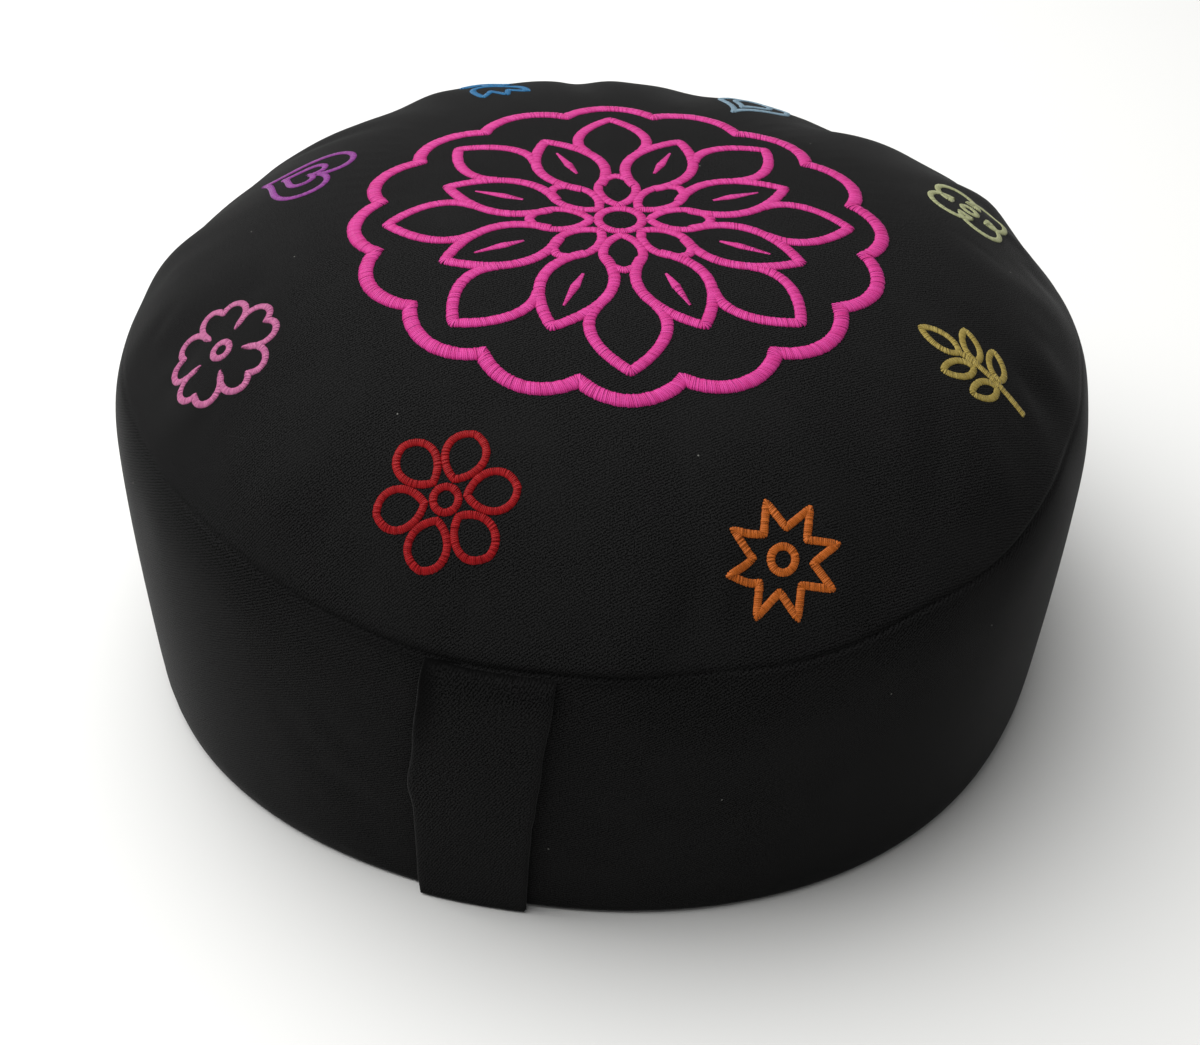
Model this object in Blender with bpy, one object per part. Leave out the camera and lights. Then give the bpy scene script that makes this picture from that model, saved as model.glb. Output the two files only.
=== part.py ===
"""Round drum cushion of black cotton: a crowned top, a plain side band drawn in at its two
seams, a flat base, and a wide carry strap of the same cloth down the front left of the band.

Metres, +Z up. The origin is the centre of the flat base. Angles run anticlockwise seen from
above, from +X; the front, which the strap is on, looks along -Y."""
import math
from collections import namedtuple

import bmesh
import bpy

# Driving dimensions
RIM_RADIUS = 0.175          # mean radius of the seam between top panel and band
SEAM_HEIGHT = 0.116         # mean height of that seam above the surface
CROWN_RISE = 0.0535         # the top panel's middle above its seam
CROWN_POWER = 3.6           # higher is flatter in the middle and steeper at the rim
BAND_BULGE = 0.0035         # how far the filling pushes the band out below its top seam
BASE_SHARE = 0.990          # radius of the base seam as a share of the rim's
BASE_SEAM_HEIGHT = 0.0012   # the base seam is lifted this far off the surface
TOP_SEAM_PULL = 0.0018      # the thread draws the top seam in by this much
BASE_SEAM_PULL = 0.0004     # and the base seam, which the weight spreads, by less
SEAM_HALF_WIDTH = 0.0050    # the cloth beside a seam goes with it over this distance
CORNER_STEPS = ((0.0020, 0.0004), (0.0060, 0.0))    # base corner: inwards by, height

# The cushion is hand filled and not quite round or level
Wave = namedtuple("Wave", "waves size toward")
ROUND_WAVES = (Wave(2, 0.0025, 110), Wave(3, 0.0009, 2), Wave(4, 0.0026, 33))
SEAM_WAVES = (Wave(1, 0.0039, 73), Wave(2, 0.0054, 10), Wave(3, 0.0032, 89))
BASE_WAVES = (Wave(1, 0.0026, -43), Wave(2, 0.0020, 47))

# Places where the band has sagged and taken the top seam down with it
Dip = namedtuple("Dip", "angle depth half_angle")
DIPS = (Dip(240, 0.0034, 10), Dip(256, 0.0029, 9), Dip(292, 0.0020, 5), Dip(318, 0.0036, 8))
DIP_FADE = 12               # the power of u by which a dip dies out up the top panel

# Soft hollows and swellings of the top panel; u is 0 at its middle and 1 at its seam
Lump = namedtuple("Lump", "angle u rise half_angle half_u")
LUMPS = (
    Lump(3, 0.93, -0.0032, 7, 0.09),
    Lump(26, 0.90, 0.0026, 9, 0.12),
    Lump(48, 0.72, -0.0026, 10, 0.14),
    Lump(71, 0.70, -0.0018, 9, 0.16),
    Lump(115, 0.80, 0.0028, 9, 0.13),
    Lump(160, 0.90, -0.0012, 10, 0.12),
    Lump(175, 0.98, 0.0024, 6, 0.08),
    Lump(204, 0.90, -0.0034, 5, 0.10),
    Lump(221, 0.90, -0.0030, 6, 0.12),
    Lump(292, 0.90, -0.0016, 7, 0.12),
    Lump(307, 0.84, -0.0018, 5, 0.12),
    Lump(322, 0.86, 0.0014, 6, 0.12),
)

# Puckers, where the top seam gathers a little of the cloth on both its sides
Pucker = namedtuple("Pucker", "angle depth half_angle reach")
PUCKERS = (
    Pucker(262, 0.0014, 3.5, 0.030),
    Pucker(282, 0.0026, 4.0, 0.034),
    Pucker(303, 0.0016, 4.5, 0.026),
    Pucker(338, 0.0020, 4.0, 0.030),
    Pucker(20, 0.0022, 4.0, 0.028),
    Pucker(58, 0.0024, 5.0, 0.032),
    Pucker(98, 0.0020, 4.5, 0.030),
    Pucker(129, 0.0026, 4.5, 0.034),
    Pucker(152, 0.0020, 4.0, 0.028),
    Pucker(185, 0.0006, 4.5, 0.030),
    Pucker(212, 0.0024, 4.0, 0.032),
    Pucker(238, 0.0012, 4.0, 0.024),
)
RIPPLES = (Wave(17, 0.0004, 3), Wave(25, 0.0004, 11), Wave(32, 0.0003, 5))
RIPPLE_REACH = 0.016

# The carry strap, by shares of the way down the band: its two edges, and the gap that
# its inner face keeps to the band at each edge
Course = namedtuple("Course", "down left_angle right_angle left_gap right_gap")
STRAP_COURSES = (
    Course(0.00, 253.7, 267.0, 0.0005, 0.0005),
    Course(0.06, 253.6, 266.7, 0.0006, 0.0008),
    Course(0.30, 252.9, 265.8, 0.0010, 0.0015),
    Course(0.50, 252.1, 265.2, 0.0013, 0.0019),
    Course(0.58, 252.6, 264.8, 0.0015, 0.0018),
    Course(0.80, 252.6, 264.4, 0.0016, 0.0014),
    Course(0.92, 252.5, 264.2, 0.0016, 0.0010),
    Course(1.00, 252.6, 264.1, 0.0016, 0.0006),
)
STRAP_THICKNESS = 0.0026    # the strip folded double
STRAP_TOP_THICKNESS = 0.0014    # pressed flat where the seam holds it
STRAP_TOP_DROP = 0.0008     # its upper end lies this far under the top seam
STRAP_FOOT = 0.0006         # its lower end above the surface
STRAP_CLEAR_ANGLE = (248, 270)    # puckers and ripples die out under it

ROUND_STEPS = 160
CROWN_SHARES = (0.10, 0.22, 0.34, 0.45, 0.55, 0.64, 0.72, 0.79, 0.85, 0.90, 0.94, 0.97, 0.99)
BAND_SHARES = (0.0, 0.02, 0.05, 0.10, 0.18, 0.28, 0.40, 0.52, 0.64, 0.76, 0.87, 0.94, 0.98, 1.0)
STRAP_STEPS_DOWN = 30
STRAP_STEPS_ACROSS = 12


def waves(table, angle):
    """Sum of a table's waves at an angle in degrees."""
    return sum(w.size * math.cos(math.radians(w.waves * (angle - w.toward))) for w in table)


def turn_between(angle, other):
    """Smallest turn from one angle to another, in degrees."""
    return (angle - other + 180) % 360 - 180


def bell(distance, half_width):
    """1 at no distance, falling smoothly to almost 0 at twice the half width."""
    return math.exp(-((distance / half_width) ** 2))


def rim_radius(angle):
    return RIM_RADIUS + waves(ROUND_WAVES, angle)


def dip(angle):
    return sum(d.depth * bell(turn_between(angle, d.angle), d.half_angle) for d in DIPS)


def seam_height(angle):
    return SEAM_HEIGHT + waves(SEAM_WAVES, angle) - dip(angle)


def base_radius(angle):
    return BASE_SHARE * rim_radius(angle) + waves(BASE_WAVES, angle)


def clear_of_strap(angle):
    """0 behind the strap and 1 well away from it."""
    low, high = STRAP_CLEAR_ANGLE
    half = (high - low) / 2
    outside = abs(turn_between(angle, (low + high) / 2)) - half
    return min(1.0, max(0.0, outside / 4.0))


def gathers(angle, from_seam):
    """How far the puckers and ripples move the cloth, at a distance from the top seam."""
    pull = -sum(
        p.depth * bell(turn_between(angle, p.angle), p.half_angle) * math.exp(-from_seam / p.reach)
        for p in PUCKERS
    )
    ripple = waves(RIPPLES, angle) * math.exp(-from_seam / RIPPLE_REACH)
    return (pull + ripple) * clear_of_strap(angle)


def seam_groove(from_seam, pull):
    return -pull * bell(from_seam, SEAM_HALF_WIDTH)


def crown_point(angle, u):
    """A point of the top panel, u of the way from its middle to its seam."""
    rim = rim_radius(angle)
    height = SEAM_HEIGHT + waves(SEAM_WAVES, angle) * u * u - dip(angle) * u ** DIP_FADE
    height += CROWN_RISE * (1 - u ** CROWN_POWER)
    slope = math.atan(CROWN_RISE * CROWN_POWER * u ** (CROWN_POWER - 1) / rim)
    swell = sum(
        k.rise * bell(turn_between(angle, k.angle), k.half_angle) * bell(u - k.u, k.half_u)
        for k in LUMPS
    )
    from_seam = (1 - u) * rim
    if u > 0.5:
        swell += gathers(angle, from_seam) * min(1.0, (u - 0.5) * 5)
    swell += seam_groove(from_seam, TOP_SEAM_PULL)
    return polar(angle, u * rim + swell * math.sin(slope), height + swell * math.cos(slope))


def band_radius(angle, drop, with_gathers=True):
    """Radius of the side band, drop of the way from its top seam to its base seam."""
    root = math.sqrt(drop)
    radius = rim_radius(angle) * (1 - drop) + base_radius(angle) * drop
    radius += BAND_BULGE * 4 * root * (1 - root)
    from_top = drop * seam_height(angle)
    from_base = (1 - drop) * seam_height(angle)
    radius += seam_groove(from_top, TOP_SEAM_PULL) + seam_groove(from_base, BASE_SEAM_PULL)
    if with_gathers:
        radius += gathers(angle, from_top) * 0.8 * (1 - drop)
    return radius


def band_height(angle, drop):
    return seam_height(angle) * (1 - drop) + BASE_SEAM_HEIGHT * drop


def polar(angle, radius, height):
    turn = math.radians(angle)
    return (radius * math.cos(turn), radius * math.sin(turn), height)


def band_point(angle, drop):
    return polar(angle, band_radius(angle, drop), band_height(angle, drop))


def corner_point(angle, inwards, height):
    """A point of the rounded corner between the base seam and the flat of the base."""
    return polar(angle, band_radius(angle, 1.0) - inwards, height)


def cloth_material(name, tone, roughness):
    material = bpy.data.materials.new(name)
    material.use_nodes = True
    shader = material.node_tree.nodes["Principled BSDF"]
    shader.inputs["Base Color"].default_value = (tone, tone, tone, 1)
    shader.inputs["Roughness"].default_value = roughness
    shader.inputs["Metallic"].default_value = 0.0
    return material


def add_object(name, mesh_data, material):
    """Puts a finished bmesh in the scene as one smooth-shaded object."""
    bmesh.ops.recalc_face_normals(mesh_data, faces=mesh_data.faces)
    mesh = bpy.data.meshes.new(name)
    mesh_data.to_mesh(mesh)
    mesh_data.free()
    mesh.materials.append(material)
    mesh.shade_smooth()
    mesh.set_sharp_from_angle(angle=math.radians(50))
    thing = bpy.data.objects.new(name, mesh)
    bpy.context.scene.collection.objects.link(thing)
    return thing


def bridge(mesh_data, upper, lower):
    """Quads between two closed rings of the same number of points."""
    count = len(upper)
    for i in range(count):
        j = (i + 1) % count
        mesh_data.faces.new((upper[i], upper[j], lower[j], lower[i]))


def make_body():
    """The filled body: rings from the middle of the top panel out and down to the base."""
    mesh_data = bmesh.new()
    angles = [360 * i / ROUND_STEPS for i in range(ROUND_STEPS)]
    rings = [[crown_point(a, u) for a in angles] for u in CROWN_SHARES]
    rings += [[band_point(a, drop) for a in angles] for drop in BAND_SHARES]
    rings += [[corner_point(a, inwards, height) for a in angles] for inwards, height in CORNER_STEPS]
    loops = [[mesh_data.verts.new(point) for point in ring] for ring in rings]
    for upper, lower in zip(loops, loops[1:]):
        bridge(mesh_data, upper, lower)
    middle = mesh_data.verts.new(crown_point(0, 0))
    for i in range(ROUND_STEPS):
        mesh_data.faces.new((middle, loops[0][(i + 1) % ROUND_STEPS], loops[0][i]))
    mesh_data.faces.new(loops[-1])
    return add_object("cushion_body", mesh_data, cloth_material("black_cotton_twill", 0.012, 0.92))


def blend_course(down):
    """The strap's edges and gaps at a share of the way down, eased between the courses."""
    for upper, lower in zip(STRAP_COURSES, STRAP_COURSES[1:]):
        if down <= lower.down:
            share = (down - upper.down) / (lower.down - upper.down)
            ease = share * share * (3 - 2 * share)
            return [a + (b - a) * ease for a, b in zip(upper[1:], lower[1:])]
    return list(STRAP_COURSES[-1][1:])


def strap_point(down, across, face):
    """A point of the strap; face is 0 on the side toward the band and 1 on the outside."""
    left_angle, right_angle, left_gap, right_gap = blend_course(down)
    angle = left_angle + (right_angle - left_angle) * across
    top = seam_height(angle) - STRAP_TOP_DROP
    height = top + (STRAP_FOOT - top) * down
    drop = (seam_height(angle) - height) / (seam_height(angle) - BASE_SEAM_HEIGHT)
    wall = band_radius(angle, min(1.0, drop), with_gathers=False)
    gap = left_gap + (right_gap - left_gap) * across
    pressed = min(1.0, down / 0.05)
    thickness = STRAP_TOP_THICKNESS + (STRAP_THICKNESS - STRAP_TOP_THICKNESS) * pressed
    return polar(angle, wall + gap + thickness * face, height)


def make_strap():
    """The strap: a grid of points on its inner face and one on its outer face, closed at the rim."""
    mesh_data = bmesh.new()
    sides = []
    for face in (0, 1):
        sides.append([
            [
                mesh_data.verts.new(strap_point(i / STRAP_STEPS_DOWN, j / STRAP_STEPS_ACROSS, face))
                for j in range(STRAP_STEPS_ACROSS + 1)
            ]
            for i in range(STRAP_STEPS_DOWN + 1)
        ])
    for grid in sides:
        for upper, lower in zip(grid, grid[1:]):
            for j in range(STRAP_STEPS_ACROSS):
                mesh_data.faces.new((upper[j], upper[j + 1], lower[j + 1], lower[j]))
    inner, outer = [rim_of(grid) for grid in sides]
    bridge(mesh_data, inner, outer)
    return add_object("handle_strap", mesh_data, cloth_material("black_cotton_strap", 0.010, 0.95))


def rim_of(grid):
    """The points round the edge of a grid, in order."""
    down_right = [row[-1] for row in grid[1:-1]]
    up_left = [row[0] for row in grid[-2:0:-1]]
    return grid[0] + down_right + grid[-1][::-1] + up_left


for old in list(bpy.data.objects):
    bpy.data.objects.remove(old, do_unlink=True)
make_body()
make_strap()
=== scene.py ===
# Looks for a round meditation cushion: black twill cover, folded carry strap, satin stitch embroidery.
# Metres, +Z up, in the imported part's frame. Angles run anticlockwise from +X; the front faces -Y.
import math

import bmesh
import bpy
import numpy as np
from mathutils import Matrix, Vector
from mathutils.bvhtree import BVHTree


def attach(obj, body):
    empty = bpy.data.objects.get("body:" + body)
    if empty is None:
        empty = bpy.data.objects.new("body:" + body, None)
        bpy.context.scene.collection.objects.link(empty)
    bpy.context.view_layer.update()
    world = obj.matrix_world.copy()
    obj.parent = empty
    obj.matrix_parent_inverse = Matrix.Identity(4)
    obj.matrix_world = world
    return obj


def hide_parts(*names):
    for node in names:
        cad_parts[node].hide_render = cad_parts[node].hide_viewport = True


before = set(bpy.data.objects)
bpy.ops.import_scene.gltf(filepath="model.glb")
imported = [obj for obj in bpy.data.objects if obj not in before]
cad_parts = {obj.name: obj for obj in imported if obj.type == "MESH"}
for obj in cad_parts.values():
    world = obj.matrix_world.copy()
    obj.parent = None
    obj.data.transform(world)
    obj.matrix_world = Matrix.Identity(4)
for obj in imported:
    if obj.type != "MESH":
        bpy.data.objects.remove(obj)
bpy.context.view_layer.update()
print("frame loaded")


def toLinear(hexColour):  # sRGB hex to the linear numbers that shaders take
    parts = [int(hexColour[i:i + 2], 16) / 255 for i in (1, 3, 5)]
    return [c / 12.92 if c <= 0.04045 else ((c + 0.055) / 1.055) ** 2.4 for c in parts] + [1.0]


# A node given as an input is linked by its first output, a socket as it is, and anything else is set.
def addNode(tree, kind, settings=None, inputs=None):
    node = tree.nodes.new(kind)
    for name, value in (settings or {}).items():
        setattr(node, name, value)
    for name, value in (inputs or {}).items():
        if isinstance(value, bpy.types.Node):
            value = value.outputs[0]
        if isinstance(value, bpy.types.NodeSocket):
            tree.links.new(value, node.inputs[name])
        else:
            node.inputs[name].default_value = value
    return node


def newMaterial(name):
    material = bpy.data.materials.new(name)
    material.use_nodes = True
    material.node_tree.nodes.clear()
    return material, material.node_tree


def newObject(name, data):
    made = bpy.data.objects.new(name, data)
    bpy.context.scene.collection.objects.link(made)
    return made


def newPiece(name, mesh, material):
    piece = newObject(name, mesh)
    mesh.materials.clear()
    mesh.materials.append(material)
    return piece


def closedMesh(name, points, faces):  # with its faces turned outwards
    mesh = bpy.data.meshes.new(name)
    mesh.from_pydata(points, [], faces)
    work = bmesh.new()
    work.from_mesh(mesh)
    bmesh.ops.recalc_face_normals(work, faces=work.faces)
    work.to_mesh(mesh)
    work.free()
    return mesh


def asPlainMesh(piece):  # what the live modifiers make, kept as the piece's own mesh
    graph = bpy.context.evaluated_depsgraph_get()
    made = bpy.data.meshes.new_from_object(
        piece.evaluated_get(graph), preserve_all_data_layers=True, depsgraph=graph)
    old = piece.data
    piece.modifiers.clear()
    piece.data = made
    made.name = piece.name
    bpy.data.meshes.remove(old)


def subdivide(piece, levels):
    step = piece.modifiers.new("subdivide", "SUBSURF")
    step.levels = levels
    step.render_levels = levels
    step.uv_smooth = "PRESERVE_BOUNDARIES"
    asPlainMesh(piece)


def bell(distance, halfWidth):
    return np.exp(-((distance / halfWidth) ** 2))


def readNumbers(data, key, width, kind=np.float32):  # a row of so many numbers for each item of the data
    found = np.zeros(len(data) * width, kind)
    data.foreach_get(key, found)
    return found.reshape(-1, width) if width > 1 else found


def coordinates(mesh):
    return readNumbers(mesh.vertices, "co", 3, float)


def setCoordinates(mesh, points):
    mesh.vertices.foreach_set("co", points.astype(np.float32).ravel())
    mesh.update()


def normals(mesh):
    return readNumbers(mesh.vertex_normals, "vector", 3, float)


def storeAttribute(mesh, name, kind, values):
    attribute = mesh.attributes.new(name, kind, "POINT")
    key = "vector" if kind == "FLOAT_VECTOR" else "value"
    attribute.data.foreach_set(key, np.asarray(values, np.float32).ravel())


def readAttribute(mesh, name):
    return readNumbers(mesh.attributes[name].data, "value", 1)


# Fitted to the photo, in metres, millimetres of lens and sensor, and degrees
cameraSetup = {
    "place": (0.0060, -0.5894, 0.4841),
    "aim": (0.0005, 0.0, 0.0268),
    "rollDegrees": 1.95,
    "sensorWidth": 36.0,
    "focalLength": 56.8,
}


def makeCamera(setup):
    data = bpy.data.cameras.new("photo camera")
    data.sensor_width = setup["sensorWidth"]
    data.lens = setup["focalLength"]
    data.clip_start = 0.01
    camera = newObject("photo camera", data)
    place = Vector(setup["place"])
    turn = (Vector(setup["aim"]) - place).to_track_quat("-Z", "Y").to_matrix().to_4x4()
    roll = Matrix.Rotation(math.radians(setup["rollDegrees"]), 4, "Z")
    camera.matrix_world = Matrix.Translation(place) @ turn @ roll
    bpy.context.scene.camera = camera


makeCamera(cameraSetup)

studio = {
    "sky": 0.20,                              # even white light from all round
    "windowPlace": (-0.65, 0.32, 1.60),       # a large soft source, above and to the left
    "windowSize": (2.4, 2.4),
    "windowPower": 62.0,
    "floorSize": 9.0,
    "floorColour": "#e9e9e7",
}


def makeStudio(setup):
    world = bpy.data.worlds.new("studio")
    world.use_nodes = True
    world.node_tree.nodes["Background"].inputs["Color"].default_value = (1, 1, 1, 1)
    world.node_tree.nodes["Background"].inputs["Strength"].default_value = setup["sky"]
    bpy.context.scene.world = world
    data = bpy.data.lights.new("window", "AREA")
    data.shape = "RECTANGLE"
    data.size, data.size_y = setup["windowSize"]
    data.energy = setup["windowPower"]
    window = newObject("window", data)
    window.location = setup["windowPlace"]
    window.rotation_mode = "QUATERNION"
    window.rotation_quaternion = (Vector((0, 0, 0.1)) - window.location).to_track_quat("-Z", "Y")
    half = setup["floorSize"] / 2
    mesh = bpy.data.meshes.new("floor")
    corners = [(-half, -half, 0), (half, -half, 0), (half, half, 0), (-half, half, 0)]
    mesh.from_pydata(corners, [], [(0, 1, 2, 3)])
    material, tree = newMaterial("matt white studio floor")
    shader = addNode(tree, "ShaderNodeBsdfPrincipled", inputs={
        "Base Color": toLinear(setup["floorColour"]), "Roughness": 0.9, "Specular IOR Level": 0.2})
    addNode(tree, "ShaderNodeOutputMaterial", inputs={"Surface": shader})
    floor = newPiece("floor", mesh, material)
    floor.location.z = -0.0002
    bpy.context.scene.view_settings.view_transform = "Standard"


makeStudio(studio)
print("camera, light and floor ready")


twillLook = {
    "ribPitch": 0.00090,       # the diagonal ribs, drawn a little wider apart than the real 0.6 mm, to show
    "grainPitch": 0.00044,     # the single yarns, which read as a fine grain
    "ribDegrees": 29.0,        # the ribs' slope on the top panel
    "ribShare": 0.16,          # of the height, beside the grain's 1
    "relief": 0.00006,
    "valley": "#010101",
    "ridge": "#232323",
    "bloom": "#1d1d1d",        # where wear and washing have greyed the cloth
    "lint": "#6a6a66",
    "shade": "#050505",        # painted shade, where a "shade" attribute darkens it
    "patches": 24.0,           # of greying, to the metre
    "lintCells": 95.0,         # to the metre; a few of them hold a speck of lint
    "lintRadius": 0.026,       # of a speck, as a share of its cell
    "bareShare": 0.99,         # of the cells
    "sheen": 0.085,
}


# Cotton twill, dyed black and washed: matt and finely grained, its slanting ribs half lost in the
# nap, with a pale rim at grazing angles, faint uneven greying, a few specks of lint, and painted
# shade where a "shade" attribute asks for it.
def makeTwill(name, look, mapName, turnDegrees):
    material, tree = newMaterial(name)
    place = addNode(tree, "ShaderNodeUVMap", {"uv_map": mapName})
    ribPlace = addNode(tree, "ShaderNodeMapping", inputs={
        "Vector": place, "Rotation": (0, 0, math.radians(-turnDegrees))})
    grain = addNode(tree, "ShaderNodeTexNoise", {"noise_dimensions": "2D"}, {
        "Vector": place, "Scale": 1 / look["grainPitch"], "Detail": 2.0, "Roughness": 0.75})
    ribs = addNode(tree, "ShaderNodeTexWave", {"bands_direction": "Y"}, {
        "Vector": ribPlace, "Scale": math.pi / (10 * look["ribPitch"]),
        "Distortion": 3.4, "Detail": 2.0, "Detail Scale": 1.7})
    height = addNode(tree, "ShaderNodeMath", {"operation": "MULTIPLY_ADD"}, {
        0: ribs.outputs["Fac"], 1: look["ribShare"], 2: grain})
    bump = addNode(tree, "ShaderNodeBump", inputs={
        "Height": height, "Distance": look["relief"], "Strength": 1.0})
    tone = addNode(tree, "ShaderNodeMapRange", inputs={
        "Value": height, "From Min": 0.48, "From Max": 0.52 + look["ribShare"]})
    patches = addNode(tree, "ShaderNodeTexNoise", {"noise_dimensions": "2D"}, {
        "Vector": place, "Scale": look["patches"], "Detail": 4.0, "Roughness": 0.6})
    worn = addNode(tree, "ShaderNodeMapRange", inputs={
        "Value": patches, "From Min": 0.48, "From Max": 0.80, "To Max": 0.45})
    shade = addNode(tree, "ShaderNodeAttribute", {"attribute_name": "shade"})    # painted shade; 0 where there is none
    cells = addNode(tree, "ShaderNodeTexVoronoi", {"voronoi_dimensions": "2D"}, {
        "Vector": place, "Scale": look["lintCells"], "Randomness": 1.0})
    near = addNode(tree, "ShaderNodeMath", {"operation": "LESS_THAN"}, {0: cells, 1: look["lintRadius"]})
    apart = addNode(tree, "ShaderNodeSeparateColor", inputs={"Color": cells.outputs["Color"]})
    few = addNode(tree, "ShaderNodeMath", {"operation": "GREATER_THAN"}, {0: apart, 1: look["bareShare"]})
    speck = addNode(tree, "ShaderNodeMath", {"operation": "MULTIPLY"}, {0: near, 1: few})
    colour = toLinear(look["valley"])
    for share, key in ((tone, "ridge"), (worn, "bloom"), (shade.outputs["Fac"], "shade"), (speck, "lint")):
        mixed = addNode(tree, "ShaderNodeMix", {"data_type": "RGBA"}, {
            "Factor": share, 6: colour, 7: toLinear(look[key])})
        colour = mixed.outputs[2]
    shader = addNode(tree, "ShaderNodeBsdfPrincipled", inputs={
        "Base Color": colour, "Roughness": 0.92, "Specular IOR Level": 0.05,
        "Sheen Weight": look["sheen"], "Sheen Roughness": 0.30, "Normal": bump})
    addNode(tree, "ShaderNodeOutputMaterial", inputs={"Surface": shader})
    return material


# Polyester embroidery thread laid in satin stitch: deep in colour, with a silky gleam along the
# side of each arched stitch that faces the light, and small differences from stitch to stitch.
def makeThread(name, dark, light, gleam):
    material, tree = newMaterial(name)
    stitch = addNode(tree, "ShaderNodeAttribute", {"attribute_name": "threadTone"})
    colour = addNode(tree, "ShaderNodeMix", {"data_type": "RGBA"}, {
        "Factor": stitch.outputs["Fac"], 6: toLinear(dark), 7: toLinear(light)})
    shader = addNode(tree, "ShaderNodeBsdfPrincipled", inputs={
        "Base Color": colour.outputs[2], "Roughness": 0.40, "Specular IOR Level": 0.34,
        "Specular Tint": toLinear(gleam), "Sheen Weight": 0.10, "Sheen Roughness": 0.30,
        "Sheen Tint": toLinear(gleam)})
    addNode(tree, "ShaderNodeOutputMaterial", inputs={"Surface": shader})
    return material


cover = {
    "columns": 160,             # points round the CAD body
    "rings": 28,                # its rings that every column has, from the base up
    "baseSeam": 2,              # which of them is the base seam
    "topSeam": 15,              # and the top seam
    "insideHeight": 0.060,      # a point inside the body, which the rings are ordered round
    "mapStart": 115,            # the column under the strap, where the side band's cloth map joins up
    # distances from the top seam, in along the crown and down the band
    "crownRows": (0.0012, 0.003, 0.006, 0.010, 0.015, 0.021, 0.029, 0.039, 0.051, 0.065, 0.081, 0.099),
    "crownHalved": (0.118, 0.138, 0.156),   # rows with half, a quarter and an eighth of the points
    "bandRows": (0.0012, 0.003, 0.006, 0.011, 0.019, 0.029, 0.041, 0.053, 0.066, 0.079, 0.091, 0.101, 0.108),
    "bandHeight": 0.1135,       # that the band's rows are spaced for
    "belowBand": -0.12,         # stands for all places below the base seam
    "baseRadii": (0.78, 0.52, 0.26),        # shares of the flat's radius
    "seamRadius": 0.175,
    "bandMapLeft": 0.25,        # where the band starts on the cloth map, right of the other panels
    "baseMapDown": 0.5,         # and how far the base panel lies below the top one
}


def readRings(node, plan):  # the CAD body's points as rings from the base up, and its topmost point
    points = np.unique(np.round(coordinates(node.data), 6), axis=0)
    radius = np.hypot(points[:, 0], points[:, 1])
    rise = np.arctan2(points[:, 2] - plan["insideHeight"], radius)
    step = 2 * math.pi / plan["columns"]
    column = np.round(np.arctan2(points[:, 1], points[:, 0]) / step).astype(int) % plan["columns"]
    rings = np.zeros((plan["rings"], plan["columns"], 3))
    for c in range(plan["columns"]):
        own = np.flatnonzero((column == c) & (radius > 0.001))
        own = own[np.argsort(rise[own])][:plan["rings"]]
        rings[:, c] = points[own]
    middle = points[np.argmin(radius + np.abs(points[:, 2] - points[:, 2].max()))]
    return rings, middle


def alongLine(points, distances):  # points at these distances along a smooth line through the given ones
    lengths = np.linalg.norm(np.diff(points, axis=0), axis=1)
    at = np.concatenate([[0], np.cumsum(lengths)])
    slopes = np.gradient(points, at, axis=0)
    found = []
    for d in distances:
        k = min(max(np.searchsorted(at, d) - 1, 0), len(at) - 2)
        gap = at[k + 1] - at[k]
        t = (d - at[k]) / gap
        found.append(
            (2 * t**3 - 3 * t**2 + 1) * points[k] + (t**3 - 2 * t**2 + t) * gap * slopes[k]
            + (3 * t**2 - 2 * t**3) * points[k + 1] + (t**3 - t**2) * gap * slopes[k + 1])
    return np.array(found), at[-1]


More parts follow.
